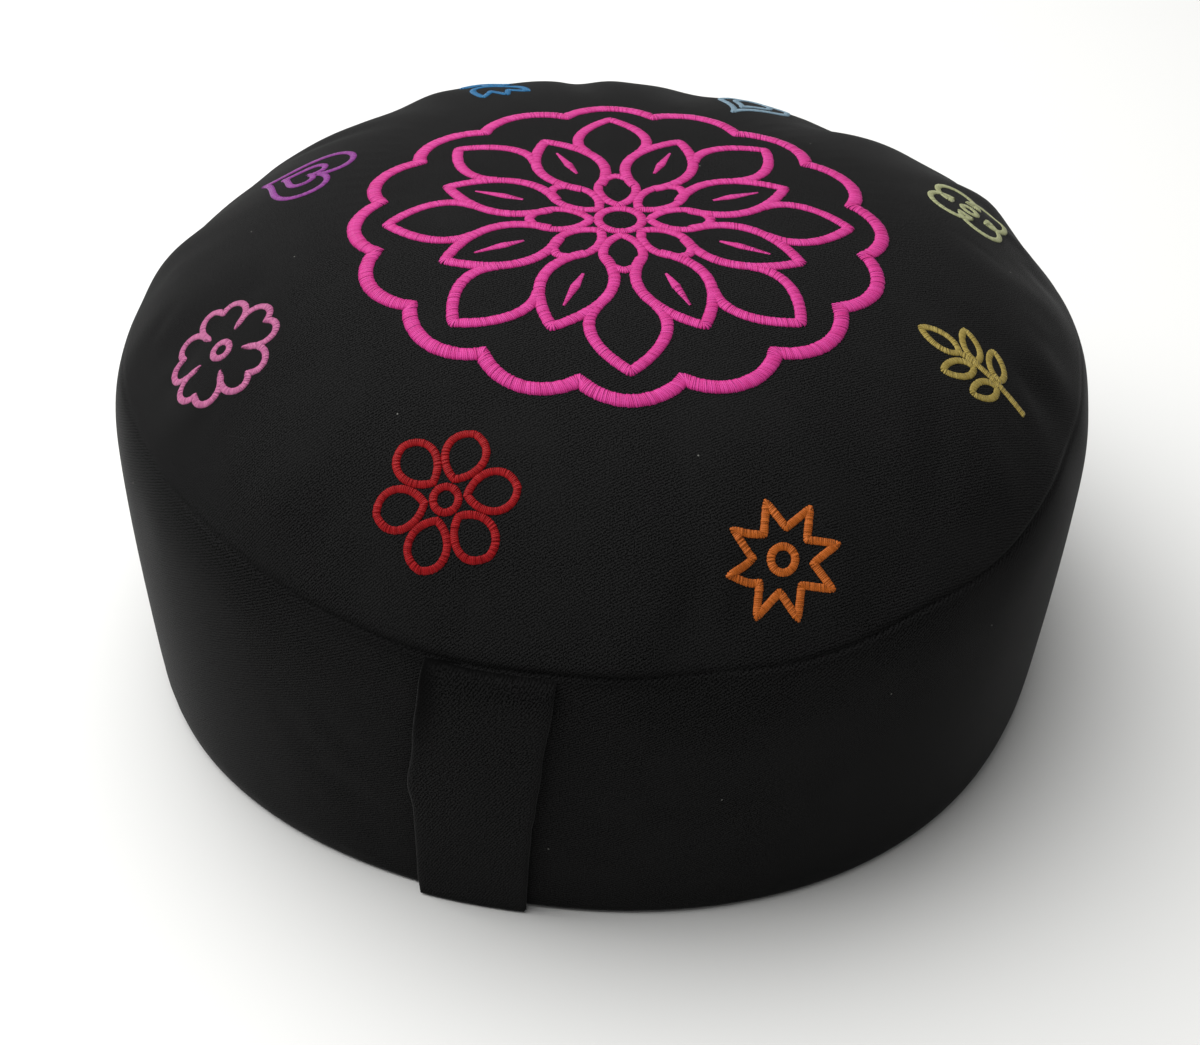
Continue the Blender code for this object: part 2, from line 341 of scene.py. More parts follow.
def buildCover(plan, material):
    rings, middle = readRings(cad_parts["cushion_body"], plan)
    columns = plan["columns"]
    seam, foot = plan["topSeam"], plan["baseSeam"]
    crownRows = plan["crownRows"] + plan["crownHalved"]
    crown = np.zeros((len(crownRows), columns, 3))
    band = np.zeros((len(plan["bandRows"]), columns, 3))
    crownReach = np.zeros(columns)
    for c in range(columns):
        line = np.vstack([rings[seam:, c], middle])
        crown[:, c], crownReach[c] = alongLine(line, crownRows)
        line = rings[seam:foot - 1:-1, c]
        length = np.linalg.norm(np.diff(line, axis=0), axis=1).sum()
        share = length / plan["bandHeight"]
        band[:, c], _ = alongLine(line, [row * share for row in plan["bandRows"]])
    points, faces, places = [], [], []

    def addRing(ring, every, zone, along):  # every nth point of a ring; zone and along place it on the cloth
        start = len(points)
        for c in range(0, columns, every):
            points.append(ring[c])
            places.append((zone, c, along[c] if hasattr(along, "__len__") else along))
        return list(range(start, len(points)))

    loops = []
    flat = rings[0]
    centre = np.array([flat[:, 0].mean(), flat[:, 1].mean(), 0.0])
    for share, every in zip(reversed(plan["baseRadii"]), (8, 4, 2)):
        loops.append(addRing(centre + (flat - centre) * share, every, "base", 0.0))
    loops.append(addRing(rings[0], 1, "base", 0.0))
    loops.append(addRing(rings[1], 1, "foot", 0.0))
    loops.append(addRing(rings[foot], 1, "foot", 0.0))
    baseSeamLoop = loops[-1]
    for k in range(len(band) - 1, -1, -1):
        loops.append(addRing(band[k], 1, "band", band[k][:, 2]))
    loops.append(addRing(rings[seam], 1, "seam", crownReach))
    topSeamLoop = loops[-1]
    for k, row in enumerate(crownRows):
        every = 2 ** max(0, k - len(plan["crownRows"]) + 1)
        loops.append(addRing(crown[k], every, "crown", crownReach - row))
    bottom = len(points)
    points.append(centre)
    top = len(points)
    points.append(middle)

    for lower, upper in zip(loops, loops[1:]):
        many, few = (lower, upper) if len(lower) >= len(upper) else (upper, lower)
        for i in range(len(few)):
            j = (i + 1) % len(few)
            if len(many) == len(few):
                faces.append((many[i], many[j], few[j], few[i]))
            else:
                last = many[(2 * i + 2) % len(many)]
                faces.append((many[2 * i], many[2 * i + 1], last, few[j], few[i]))
    for loop, tip in ((loops[0], bottom), (loops[-1], top)):
        for i in range(len(loop)):
            faces.append((loop[i], loop[(i + 1) % len(loop)], tip))

    mesh = closedMesh("cushion_cover", points, faces)
    mesh.shade_smooth()

    angle = 2 * math.pi / columns
    places += [("base", 0, 0.0), ("crown", 0, 0.0)]
    cloth = mesh.uv_layers.new(name="clothMap")    # metres on the cut cloth, one island for each panel
    for face in mesh.polygons:
        zones = {places[v][0] for v in face.vertices}
        around = [(places[v][1] - plan["mapStart"]) % columns for v in face.vertices]
        wraps = max(around) - min(around) > columns / 2
        for corner, v, turn in zip(face.loop_indices, face.vertices, around):
            zone, c, along = places[v]
            if "crown" in zones:
                cloth.uv[corner].vector = (along * math.cos(c * angle), along * math.sin(c * angle))
            elif "base" in zones:
                cloth.uv[corner].vector = (points[v][0], points[v][1] - plan["baseMapDown"])
            else:
                turn += columns if wraps and turn < columns / 2 else 0
                across = plan["bandMapLeft"] + turn * angle * plan["seamRadius"]
                cloth.uv[corner].vector = (across, points[v][2])

    fromSeam = np.zeros(len(points))      # along the cloth, above 0 on the top panel, below 0 on the band
    for loop, row in zip(loops[-len(crownRows):], crownRows):
        fromSeam[loop] = row
    fromSeam[top] = plan["seamRadius"]    # about as far in as the middle
    first = loops.index(topSeamLoop)
    for k, row in enumerate(plan["bandRows"]):
        fromSeam[loops[first - 1 - k]] = -row
    for loop in loops[:loops.index(baseSeamLoop) + 1] + [[bottom]]:
        fromSeam[loop] = plan["belowBand"]
    storeAttribute(mesh, "fromSeam", "FLOAT", fromSeam)
    held = np.zeros(len(points))
    held[baseSeamLoop] = 1
    storeAttribute(mesh, "onBaseSeam", "FLOAT", held)
    piece = newPiece("cushion_cover", mesh, material)
    return piece, rings, crownReach


# The top seam shows as a sharp fold by the strap and as a thin line on a softer one elsewhere, and is
# nearly lost where the filling rolls the cloth over it. Angle round the cushion, and shares of the full
# sharpness of the fold and of the full depth of the line.
seamTable = (
    (0, 0.12, 0.20), (20, 0.15, 0.20), (60, 0.20, 0.25), (150, 0.10, 0.10), (215, 0.10, 0.15),
    (228, 0.20, 0.60), (240, 0.45, 1.00), (252, 0.85, 1.00), (274, 0.85, 1.00), (284, 0.40, 0.50),
    (294, 0.60, 1.00), (320, 0.50, 1.00), (330, 0.30, 0.60), (340, 0.15, 0.25), (360, 0.12, 0.20),
)


def seamShares(points):  # of the fold and of the line, at each point
    angles = np.degrees(np.arctan2(points[:, 1], points[:, 0])) % 360
    turns, folds, lines = zip(*seamTable)
    return np.interp(angles, turns, folds), np.interp(angles, turns, lines)


def creaseSeams(mesh):  # the two seams stay sharp when the cover is subdivided
    fromSeam = readAttribute(mesh, "fromSeam")
    onBase = readAttribute(mesh, "onBaseSeam")
    share, _ = seamShares(coordinates(mesh))
    crease = mesh.attributes.get("crease_edge") or mesh.attributes.new("crease_edge", "FLOAT", "EDGE")
    for edge in mesh.edges:
        a, b = edge.vertices
        if abs(fromSeam[a]) < 1e-6 and abs(fromSeam[b]) < 1e-6:
            crease.data[edge.index].value = float(share[a])
        else:
            crease.data[edge.index].value = 1.0 if onBase[a] > 0.99 and onBase[b] > 0.99 else 0.0


blackTwill = makeTwill("black cotton twill", twillLook, "clothMap", twillLook["ribDegrees"])
coverPiece, bodyRings, crownReach = buildCover(cover, blackTwill)
creaseSeams(coverPiece.data)
subdivide(coverPiece, 1)
creaseSeams(coverPiece.data)
print("cover laid on the frame,", len(coverPiece.data.vertices), "points")

filling = {
    "frames": 20,
    "pressure": 4.0,
    "cloth": {"quality": 5, "mass": 0.15, "tension_stiffness": 25, "compression_stiffness": 25,
              "shear_stiffness": 8, "bending_stiffness": 0.6},
    "slackNearSeams": 0.035,     # the cloth is this much longer than the seam it is gathered on
    "slack": 0.004,
    "slackReach": 0.030,
    "furthest": 0.0035,          # how far the filling may push a point of the cover
    "strapAngles": (248, 270),   # the band is held flat behind the strap
    "strapEase": 3.0,            # degrees over which that lets go
    "restsBelow": 0.0015,        # the base and its seam stay where they stand
}


def puffUp(piece, plan):  # the filling pushes the cover out between its seams, and the seams' slack puckers
    mesh = piece.data
    before = coordinates(mesh)
    fromSeam = readAttribute(mesh, "fromSeam")
    angles = np.degrees(np.arctan2(before[:, 1], before[:, 0])) % 360
    low, high = plan["strapAngles"]
    behindStrap = (angles > low) & (angles < high) & (fromSeam < 0)
    resting = before[:, 2] < plan["restsBelow"]
    held = (np.abs(fromSeam) < 1e-6) | resting | behindStrap
    heldGroup = piece.vertex_groups.new(name="held")
    heldGroup.add([int(i) for i in np.flatnonzero(held)], 1.0, "REPLACE")
    slackGroup = piece.vertex_groups.new(name="slack")
    slack = bell(np.abs(fromSeam), plan["slackReach"])
    for i, weight in enumerate(slack):
        slackGroup.add([i], float(weight), "REPLACE")
    cloth = piece.modifiers.new("filling", "CLOTH")
    cloth.point_cache.frame_start = 1
    cloth.point_cache.frame_end = plan["frames"]
    settings = cloth.settings
    for name, value in plan["cloth"].items():
        setattr(settings, name, value)
    settings.vertex_group_mass = "held"
    settings.use_pressure = True
    settings.uniform_pressure_force = plan["pressure"]
    settings.vertex_group_shrink = "slack"
    settings.shrink_min = -plan["slack"]
    settings.shrink_max = -plan["slackNearSeams"]
    settings.effector_weights.gravity = 0
    cloth.collision_settings.use_collision = False
    cloth.collision_settings.use_self_collision = False
    scene = bpy.context.scene
    for frameNumber in range(1, plan["frames"] + 1):
        scene.frame_set(frameNumber)
    evaluated = piece.evaluated_get(bpy.context.evaluated_depsgraph_get())
    after = coordinates(evaluated.data)
    piece.modifiers.clear()
    piece.vertex_groups.clear()
    scene.frame_set(1)
    moved = after - before
    length = np.linalg.norm(moved, axis=1)
    soft = plan["furthest"] * np.tanh(length / plan["furthest"])    # eases into the limit
    moved *= (soft / np.maximum(length, 1e-9))[:, None]
    moved[resting] = 0
    setCoordinates(mesh, before + moved)
    print("filling pushed the cover by up to", round(float(length.max()) * 1000, 1), "mm, kept",
          round(float(np.linalg.norm(moved, axis=1).max()) * 1000, 1))


puffUp(coverPiece, filling)
subdivide(coverPiece, 1)
print("cover subdivided,", len(coverPiece.data.vertices), "points")

# Soft creases of the top panel: angle and distance in from the seam of the
# middle of each, where it heads, its length, half width and depth, all in metres and degrees.
# Those with a depth below 0 are swellings.
creaseTable = (
    (281, 0.011, 104, 0.028, 0.0048, 0.0011),
    (287, 0.021, 96, 0.034, 0.0045, 0.0013),
    (301, 0.017, 116, 0.038, 0.0055, 0.0012),
    (316, 0.040, 95, 0.040, 0.0060, 0.0008),
    (325, 0.014, 128, 0.032, 0.0052, 0.0006),
    (331, 0.018, 140, 0.022, 0.0060, 0.0005),
    (336, 0.011, 150, 0.016, 0.0052, 0.0004),
    (348, 0.016, 160, 0.018, 0.0056, 0.0004),
    (198, 0.010, 52, 0.022, 0.0035, 0.0018),
    (208, 0.013, 50, 0.022, 0.0034, 0.0018),
    (217, 0.013, 48, 0.018, 0.0034, 0.0018),
    (228, 0.016, 66, 0.020, 0.0040, 0.0008),
    (17, 0.018, 165, 0.026, 0.0045, 0.0014),
    (28, 0.022, 200, 0.026, 0.0045, 0.0012),
    (146, 0.050, 350, 0.036, 0.0060, 0.0008),
    (6, 0.010, 178, 0.018, 0.0050, 0.0016),
    (39, 0.050, 225, 0.034, 0.0110, -0.0008),
    (51, 0.052, 231, 0.036, 0.0085, 0.0015),
    (76, 0.066, 256, 0.038, 0.0100, 0.0014),
    (97, 0.070, 277, 0.034, 0.0062, 0.0013),
    (110, 0.066, 286, 0.034, 0.0075, 0.0010),
    (122, 0.060, 300, 0.034, 0.0080, -0.0009),
)
seamLook = {
    "depth": 0.0009,            # of the thin line that the thread draws in
    "half": 0.0008,
    "shade": (0.45, 0.0010, 0.0028),    # painted shade just below the top seam, in its fold: darkest share, middle and half width
    "filledOut": (0.0010, 0.0013),    # the filling has pushed the seam out again, more where it shows
    "filledHalf": (0.0080, 0.0035),
    "roll": (0.0004, 0.0013),   # the top panel is fuller just above the seam, mostly where that shows
    "rollReach": 0.006,
    "evenings": 200,            # passes that round off the cover's fold at the seam, where it doesn't show
    "eveningHalf": 0.012,
    "eveningReach": 0.03,
    "creasesStart": 0.008,      # the creases have their full depth from here inwards
}
gatherLook = {
    "waves": ((17, 0.5, 10), (29, 0.3, 47), (43, 0.2, 80)),    # to a turn, share, and phase in degrees
    "deepest": 0.0010,          # of the puckers beside the top seam, which are deep at the rear right
    "least": 0.0003,            # and weak opposite
    "deepestAngle": 50,
    "reach": 0.010,             # how far from the seam they are at their deepest
    "bandShare": 0.35,
}


def shapeCover(piece, creases, look, gathered):  # puckers and creases, then the thin line of the top seam and painted shade just below it
    mesh = piece.data
    points = coordinates(mesh)
    outward = normals(mesh)
    fromSeam = readAttribute(mesh, "fromSeam")
    angles = np.arctan2(points[:, 1], points[:, 0])
    turns = np.linspace(0, 2 * math.pi, len(crownReach) + 1)
    reaches = np.append(crownReach, crownReach[0])
    reach = np.interp(angles % (2 * math.pi), turns, reaches)
    flatX = (reach - fromSeam) * np.cos(angles)
    flatY = (reach - fromSeam) * np.sin(angles)
    rows = np.abs(fromSeam) / gathered["reach"]
    ease = (1 + np.cos(angles - math.radians(gathered["deepestAngle"]))) / 2
    size = gathered["least"] + (gathered["deepest"] - gathered["least"]) * ease
    pattern = sum(share * np.cos(count * angles + math.radians(phase))
                  for count, share, phase in gathered["waves"])
    push = size * pattern * rows * np.exp(1 - rows)
    push *= np.where(fromSeam < 0, gathered["bandShare"], 1.0) * clearOfStrap(angles, fromSeam)
    for degrees, inwards, heading, length, half, depth in creases:
        turn = math.radians(degrees)
        at = np.interp(turn, turns, reaches) - inwards
        dx = flatX - at * math.cos(turn)
        dy = flatY - at * math.sin(turn)
        heading = math.radians(heading)
        along = dx * math.cos(heading) + dy * math.sin(heading)
        across = dy * math.cos(heading) - dx * math.sin(heading)
        ridge = bell(across - 2.2 * half, 1.3 * half)    # the cloth is pushed up beside it
        trough = bell(across, half) - 0.5 * ridge
        push -= depth * bell(along, length * 0.6) * trough * np.clip(fromSeam / look["creasesStart"], 0, 1)
    share, lineShare = seamShares(points)
    above = np.clip(fromSeam, 0, None) / look["rollReach"]
    push += (look["roll"][0] * (1 - share) + look["roll"][1] * share) * above * np.exp(1 - above)
    push[points[:, 2] < filling["restsBelow"]] = 0
    points = points + outward * push[:, None]
    least, most = look["filledOut"]
    wide, narrow = look["filledHalf"]
    sideways = (least + (most - least) * share) * bell(fromSeam, wide + (narrow - wide) * share)
    radius = np.hypot(points[:, 0], points[:, 1]).clip(0.01)
    points[:, :2] += (sideways / radius)[:, None] * points[:, :2]
    evening = (1 - share) * bell(fromSeam, look["eveningHalf"]) * (np.abs(fromSeam) < look["eveningReach"])
    points = evenOut(mesh, points, evening, look["evenings"])
    setCoordinates(mesh, points)
    layBandCloth(mesh, points)
    line = -lineShare * look["depth"] * bell(fromSeam, look["half"])
    setCoordinates(mesh, points + normals(mesh) * line[:, None])
    # painted shade: the band just below the top seam is darkened, more where the fold is sharp
    darkest, middle, half = look["shade"]
    storeAttribute(mesh, "shade", "FLOAT", darkest * share * bell(fromSeam + middle, half))


def layBandCloth(mesh, points):  # the band's cloth map follows the height, so that no grain is stretched
    cloth = mesh.uv_layers["clothMap"].uv
    places = readNumbers(cloth, "vector", 2)
    corners = readNumbers(mesh.loops, "vertex_index", 1, np.int32)
    onBand = places[:, 0] > cover["bandMapLeft"] - 0.03    # the other panels lie left of this
    places[onBand, 1] = points[corners[onBand], 2]
    cloth.foreach_set("vector", places.ravel())


def evenOut(mesh, points, weight, times):  # moves each point toward the mean of its neighbours, by its weight
    ends = readNumbers(mesh.edges, "vertices", 2, np.int32)
    a, b = ends.T
    count = np.bincount(ends.ravel(), minlength=len(points))[:, None]
    for _ in range(times):
        total = np.zeros_like(points)
        for axis in range(3):
            total[:, axis] = np.bincount(a, points[b, axis], len(points))
            total[:, axis] += np.bincount(b, points[a, axis], len(points))
        points = points + (total / count - points) * weight[:, None] * 0.5
    return points


def clearOfStrap(angles, fromSeam):  # 0 on the band behind the strap, 1 elsewhere
    low, high = filling["strapAngles"]
    outside = np.abs((np.degrees(angles) - (low + high) / 2 + 180) % 360 - 180) - (high - low) / 2
    return np.where(fromSeam < 0, np.clip(outside / filling["strapEase"], 0, 1), 1.0)


shapeCover(coverPiece, creaseTable, seamLook, gatherLook)
coverPiece.data.shade_smooth()
print("cover shaped")


strap = {
    "rows": 31,
    "across": 13,
    "flat": (0.041, 0.105),
    "foldBulge": 0.25,          # the folds stand out by this share of the thickness
    "extraRow": 0.2,            # one row more, this share of the way from the first to the second
    "tuck": 0.0019,             # the upper end goes into the seam by this much, and its right corner by twice
    "fillOut": 0.0006,          # below that the filled band pushes the strap out
    "fillReach": 0.0065,
    "lift": 0.0008,             # half way down, its right edge stands off the band by this much more
    "darkStripWidth": 0.0055,             # width of the darker strip down the left edge, and of the painted shade at the upper end
    "darkStripFades": (0.15, 0.40),  # shares of the length between which it fades, down the left edge
    "topPaintedShade": 0.5,             # strength of the painted shade at the upper end
}


def readStrap(node, plan):  # the CAD strap's points by row, by place across and by face, inner first
    points = np.unique(np.round(coordinates(node.data), 6), axis=0)
    points = points[np.argsort(-points[:, 2])].reshape(plan["rows"], plan["across"] * 2, 3)
    grid = np.zeros((2, plan["rows"], plan["across"], 3))
    for i, row in enumerate(points):
        row = row[np.argsort(np.arctan2(row[:, 1], row[:, 0]))].reshape(plan["across"], 2, 3)
        for j, pair in enumerate(row):
            pair = pair[np.argsort(np.hypot(pair[:, 0], pair[:, 1]))]
            grid[:, i, j] = pair
    return grid


def buildStrap(plan, material):
    extra = plan["extraRow"]
    inner, outer = [np.insert(side, 1, side[0] * (1 - extra) + side[1] * extra, axis=0)
                    for side in readStrap(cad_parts["handle_strap"], plan)]
    rows, across = plan["rows"] + 1, plan["across"]
    tops = np.array([0, extra] + list(range(1, plan["rows"]))) * plan["flat"][1] / (plan["rows"] - 1)
    shares = [j / (across - 1) for j in range(across)]
    shares = shares + [1.0] + shares[::-1] + [0.0]
    points, faces = [], []
    for i in range(rows):
        left, right = inner[i, 0], inner[i, -1]
        side = (right - left) / np.linalg.norm(right - left)
        thick = np.linalg.norm(outer[i, 0] - inner[i, 0])
        ring = [outer[i, j] for j in range(across)]
        ring += [(inner[i, -1] + outer[i, -1]) / 2 + side * thick * plan["foldBulge"]]
        ring += [inner[i, j] for j in range(across - 1, -1, -1)]
        ring += [(inner[i, 0] + outer[i, 0]) / 2 - side * thick * plan["foldBulge"]]
        into = plan["tuck"] if i == 0 else 0
        out = plan["fillOut"] * bell(tops[i], plan["fillReach"]) - into
        lift = plan["lift"] * math.sin(math.pi * tops[i] / plan["flat"][1]) ** 2 - into
        points += [p + np.array([p[0], p[1], 0]) / math.hypot(p[0], p[1]) * (out + lift * share ** 3)
                   for p, share in zip(ring, shares)]
    count = 2 * across + 2
    for i in range(rows - 1):
        for j in range(count):
            k = (j + 1) % count
            faces.append((i * count + j, i * count + k, (i + 1) * count + k, (i + 1) * count + j))
    faces.append(tuple(range(count - 1, -1, -1)))
    faces.append(tuple((rows - 1) * count + j for j in range(count)))
    mesh = closedMesh("carry_strap", points, faces)
    cloth = mesh.uv_layers.new(name="clothMap")
    width, length = plan["flat"]
    for face in mesh.polygons:
        ends = len(face.vertices) > 4
        around = [v % count for v in face.vertices]
        wraps = max(around) - min(around) > count / 2
        for corner, v in zip(face.loop_indices, face.vertices):
            row, j = divmod(v, count)
            j += count if wraps and j < count / 2 else 0
            if ends:
                cloth.uv[corner].vector = (points[v][0], points[v][1] + 0.5)
            else:
                cloth.uv[corner].vector = (j * width / across, -tops[row])
    down = np.repeat(tops / length, count)
    place = np.tile([min(j, count - 1 - j) for j in range(count)], rows) * width / (across - 1)
    outside = np.tile(np.arange(count) < across, rows)
    # a darker strip down the left edge that fades away, and painted shade across the upper end, full on the
    # top row that goes into the seam
    shade = outside * bell(place, plan["darkStripWidth"]) * np.interp(down, plan["darkStripFades"], (1, 0))
    shade = np.maximum(shade, plan["topPaintedShade"] * bell(down * length, plan["darkStripWidth"]))
    shade[down == 0] = 1.0
    storeAttribute(mesh, "shade", "FLOAT", shade)
    crease = mesh.attributes.new("crease_edge", "FLOAT", "EDGE")
    for edge in mesh.edges:    # the two ends are cut square, the sides are folds
        a, b = edge.vertices
        endRows = {0, rows - 1} & {a // count} & {b // count}
        crease.data[edge.index].value = 0.9 if endRows else 0.0
    corners = mesh.attributes.new("crease_vert", "FLOAT", "POINT")
    for j in (0, across - 1, across, 2 * across, count - 1):
        for row in (0, rows - 1):
            corners.data[row * count + j].value = 0.8
    piece = newPiece("carry_strap", mesh, material)
    subdivide(piece, 2)
    piece.data.shade_smooth()
    return piece


strapLook = dict(twillLook, grainPitch=0.00052, relief=0.00008)
blackStrapCotton = makeTwill("black cotton strap twill", strapLook, "clothMap", 62)
strapPiece = buildStrap(strap, blackStrapCotton)
print("strap built,", len(strapPiece.data.vertices), "points")


# Where a flat pattern comes to lie on the crowned top
coverTree = BVHTree.FromPolygons(
    [Vector(p) for p in coordinates(coverPiece.data)], [tuple(f.vertices) for f in coverPiece.data.polygons])


def makeReachTable():  # for each column, distance along the cloth from the middle against plan radius
    table = []
    middle = bodyRings[-1].mean(axis=0) * [0, 0, 1]
    for c in range(cover["columns"]):
        line = np.vstack([middle, bodyRings[:cover["topSeam"] - 1:-1, c]])
        along = np.concatenate([[0], np.cumsum(np.linalg.norm(np.diff(line, axis=0), axis=1))])
        table.append((along, np.hypot(line[:, 0], line[:, 1])))
    return table


reachTable = makeReachTable()


def planRadius(along, angle):
    place = angle / (2 * math.pi) * cover["columns"]
    c = int(math.floor(place))
    share = place - c
    radii = [np.interp(along, *reachTable[(c + k) % cover["columns"]]) for k in (0, 1)]
    return radii[0] * (1 - share) + radii[1] * share


def clothDistance(radius, angle):
    along, radii = reachTable[round(angle / (2 * math.pi) * cover["columns"]) % cover["columns"]]
    return float(np.interp(radius, radii, along))


def onCover(x, y):  # where a point of the flat cloth lies on the filled cover, and the normal there
    angle = math.atan2(y, x)
    radius = planRadius(math.hypot(x, y), angle)
    start = Vector((radius * math.cos(angle), radius * math.sin(angle), 0.3))    # well above it
    place, normal, _, _ = coverTree.ray_cast(start, Vector((0, 0, -1)))
    return place, normal


# Lines of a pattern, in millimetres round its own middle: points, line width, and whether it is closed

def arcPoints(cx, cy, radius, start, end, count):
    turns = [math.radians(start + (end - start) * i / count) for i in range(count + 1)]
    return [(cx + radius * math.cos(t), cy + radius * math.sin(t)) for t in turns]


def ringLine(cx, cy, radius, width):
    return arcPoints(cx, cy, radius, 0, 360, max(12, int(radius * 5)))[:-1], width, True


def curvePoints(corners, size=1):  # a cubic curve through its two ends, steered by the two points between
    (x0, y0), (x1, y1), (x2, y2), (x3, y3) = [(x * size, y * size) for x, y in corners]
    count = max(4, int(math.hypot(x3 - x0, y3 - y0)))    # a point for each millimetre
    found = []
    for i in range(count + 1):
        t = i / count
        a, b, c, d = (1 - t) ** 3, 3 * t * (1 - t) ** 2, 3 * t * t * (1 - t), t ** 3
        found.append((a * x0 + b * x1 + c * x2 + d * x3, a * y0 + b * y1 + c * y2 + d * y3))
    return found


def turned(points, degrees, dx=0.0, dy=0.0):
    c, s = math.cos(math.radians(degrees)), math.sin(math.radians(degrees))
    return [(x * c - y * s + dx, x * s + y * c + dy) for x, y in points]


def petalPoints(foot, tip, half, fullness):  # a closed petal along +X; more fullness makes a rounder tip
    side = curvePoints([(foot, 0), (foot + (tip - foot) * 0.25, half * 1.5),
                        (tip - (tip - foot) * 0.1, half * fullness), (tip, 0)])
    back = [(x, -y) for x, y in reversed(side[1:-1])]
    return side + back


def peakPoints(foot, footHalf, tip, half):  # an open pointed petal along +X, hidden below its foot
    side = curvePoints([(foot, footHalf), (foot + (tip - foot) * 0.35, half * 1.35),
                        (foot + (tip - foot) * 0.75, half * 0.75), (tip, 0)])
    return side + [(x, -y) for x, y in reversed(side[:-1])]


rosette = {
    "middle": (0.004, -0.017),     # of the pattern, in plan
    "turnDegrees": 4.0,
    "petals": 8,
    "eye": 7.5,                    # radius of the ring in the middle, mm as is all below
    "inner": (10.0, 31.0, 6.2),    # foot, tip and half width of the inner petals
    "outer": (24.5, 3.8, 64.0, 13.5),    # foot, half width there, tip and half width
    "vein": (36, 54),              # along the outer petals
    "back": (50.0, 9.6, 79.0, 12.5),
    "scallops": 16,
    "rim": (83.5, 90.5),           # valleys and peaks of the scalloped rim
    "fine": 3.2,                   # line widths
    "middleLine": 3.8,
    "veinLine": (1.0, 3.0, 0.8),   # from foot to tip, widest between
    "rimLine": 4.8,
}


def rosetteLines(plan):
    inside, rim = [], []
    inside.append(ringLine(0, 0, plan["eye"], plan["fine"]))
    step = 360 / plan["petals"]
    for i in range(plan["petals"]):
        axis = i * step
        foot, tip, half = plan["inner"]
        inside.append((turned(petalPoints(foot, tip, half, 1.35), axis), plan["fine"], True))
        foot, footHalf, tip, half = plan["outer"]
        peak = turned(peakPoints(foot, footHalf, tip, half), axis + step / 2)
        inside.append((peak, plan["middleLine"], False))
        vein = turned([(k, 0) for k in range(*plan["vein"])], axis + step / 2)
        inside.append((vein, plan["veinLine"], False))
        foot, footHalf, tip, half = plan["back"]
        peak = turned(peakPoints(foot, footHalf, tip, half), axis)
        inside.append((peak, plan["middleLine"], False))
    valley, peak = plan["rim"]
    step = 360 / plan["scallops"]
    outline = []
    for i in range(plan["scallops"]):
        for k in range(16):
            share = k / 16
            radius = valley + (peak - valley) * math.sin(math.pi * share) ** 0.75
            outline.append(turned([(radius, 0)], (i + share - 0.5) * step)[0])
    rim.append((outline, plan["rimLine"], True))
    return inside, rim


def daisyLines(size, width):
    lines = [ringLine(0, 0, size * 0.09, width)]
    for i in range(6):
        petal = petalPoints(size * 0.15, size * 0.5, size * 0.125, 1.5)
        lines.append((turned(petal, i * 60 + 30), width, True))
    return lines


def starLines(size, width):
    outline = []
    for i in range(16):
        a = size * (0.5 if i % 2 == 0 else 0.27)
        b = size * (0.27 if i % 2 == 0 else 0.5)
        start = turned([(a, 0)], i * 22.5)[0]
        end = turned([(b, 0)], (i + 1) * 22.5)[0]
        for k in range(7):
            x = start[0] + (end[0] - start[0]) * k / 7
            y = start[1] + (end[1] - start[1]) * k / 7
            outline.append((x, y))
    return [(outline, width, True), ringLine(0, 0, size * 0.11, width)]


def sprigLines(size, width):
    stem = curvePoints([(-0.04, -0.5), (0, -0.2), (0.03, 0), (0, 0.16)], size)
    lines = [(stem, width, False)]
    lines.append((turned(petalPoints(0, size * 0.34, size * 0.10, 0.7), 90, 0, size * 0.16), width, True))
    for height, lean, reach in ((-0.02, 38, 0.36), (-0.24, 30, 0.34)):
        leaf = petalPoints(size * 0.05, size * reach, size * 0.085, 0.7)
        lines.append((turned(leaf, lean, 0, size * height), width, True))
        lines.append((turned(leaf, 180 - lean, 0, size * height), width, True))
    return lines


def quatrefoilLines(size, width):
    outline = []
    lobe = size * 0.25
    for i in range(4):
        outline += turned(arcPoints(lobe, 0, lobe * 0.98, -125, 125, 26), i * 90)
    return [(outline, width, True), ringLine(0, 0, size * 0.09, width)]


def dropLines(size, width):
    lines = []
    for tip, wide in ((0.5, 0.30), (0.26, 0.15)):
        waist = (wide, -tip * 0.35)
        half = curvePoints([(0, tip), (0.02, tip * 0.45), (wide * 1.3, tip * 0.1), waist], size)
        foot = curvePoints([waist, (wide * 0.95, -tip * 0.8), (wide * 0.5, -tip), (0, -tip)], size)
        right = half + foot[1:]
        left = [(-x, y) for x, y in reversed(right[1:-1])]
        lines.append(([(x, y - size * 0.02) for x, y in right + left], width, True))
    return lines


def tulipLines(size, width):
    cup = curvePoints([(0, -0.12), (0.26, -0.12), (0.30, 0.18), (0.24, 0.46)], size)
    cup += curvePoints([(0.24, 0.46), (0.17, 0.36), (0.12, 0.30), (0.10, 0.24)], size)[1:]
    cup += curvePoints([(0.10, 0.24), (0.06, 0.34), (0.03, 0.42), (0, 0.50)], size)[1:]
    whole = cup + [(-x, y) for x, y in reversed(cup[1:-1])]
    stem = [(0, -size * 0.12 - k) for k in range(int(size * 0.38))]
    lines = [(whole, width, True), (stem, width, False)]
    leaf = petalPoints(0, size * 0.34, size * 0.07, 0.7)
    lines.append((turned(leaf, 40, 0, -size * 0.46), width, True))
    lines.append((turned(leaf, 140, 0, -size * 0.46), width, True))
    return lines


def heartLines(size, width):
    lines = []
    for scale, drop in ((1.0, 0.0), (0.46, 0.02)):
        outline = []
        for k in range(72):
            t = 2 * math.pi * k / 72
            x = 16 * math.sin(t) ** 3
            y = 13 * math.cos(t) - 5 * math.cos(2 * t) - 2 * math.cos(3 * t) - math.cos(4 * t)
            outline.append((x * size * scale / 33, (y + 2.5) * size * scale / 33 + drop * size))
        lines.append((outline, width, True))
    return lines


